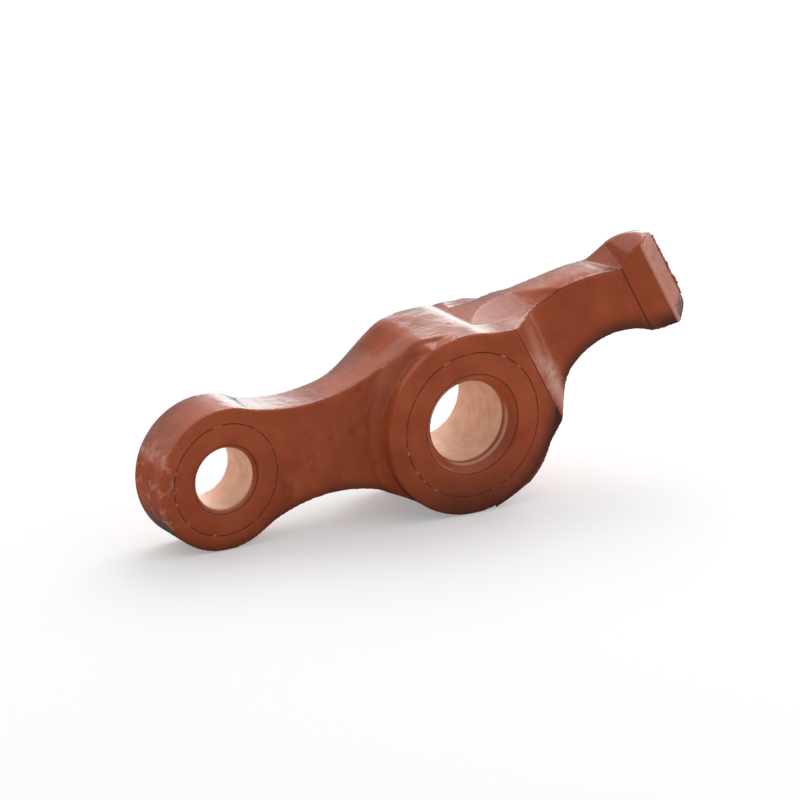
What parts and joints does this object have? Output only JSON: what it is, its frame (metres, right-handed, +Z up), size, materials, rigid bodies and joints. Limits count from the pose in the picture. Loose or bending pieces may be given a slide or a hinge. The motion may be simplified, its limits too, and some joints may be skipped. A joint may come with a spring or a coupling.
{
  "type": "wax casting pattern for a rocker arm",
  "caption": "Rocker arm with a wide shaft boss, a slimmer pin boss at the end of a flat arm, and a bevelled pad at the end of a short cranked arm.",
  "frame": {"origin": "middle of the shaft bore, halfway between the two faces of the shaft boss", "axes": "+Y along the shaft bore from the front face to the back face, +X from the pin boss towards the pad, +Z up, with both bosses standing on one level"},
  "size_m": [0.1135, 0.022, 0.0476],
  "materials": {
    "rocker_arm": "gloss"
  },
  "bodies": {
    "root": {"rocker_arm": "rocker_arm"}
  },
  "joints": []
}
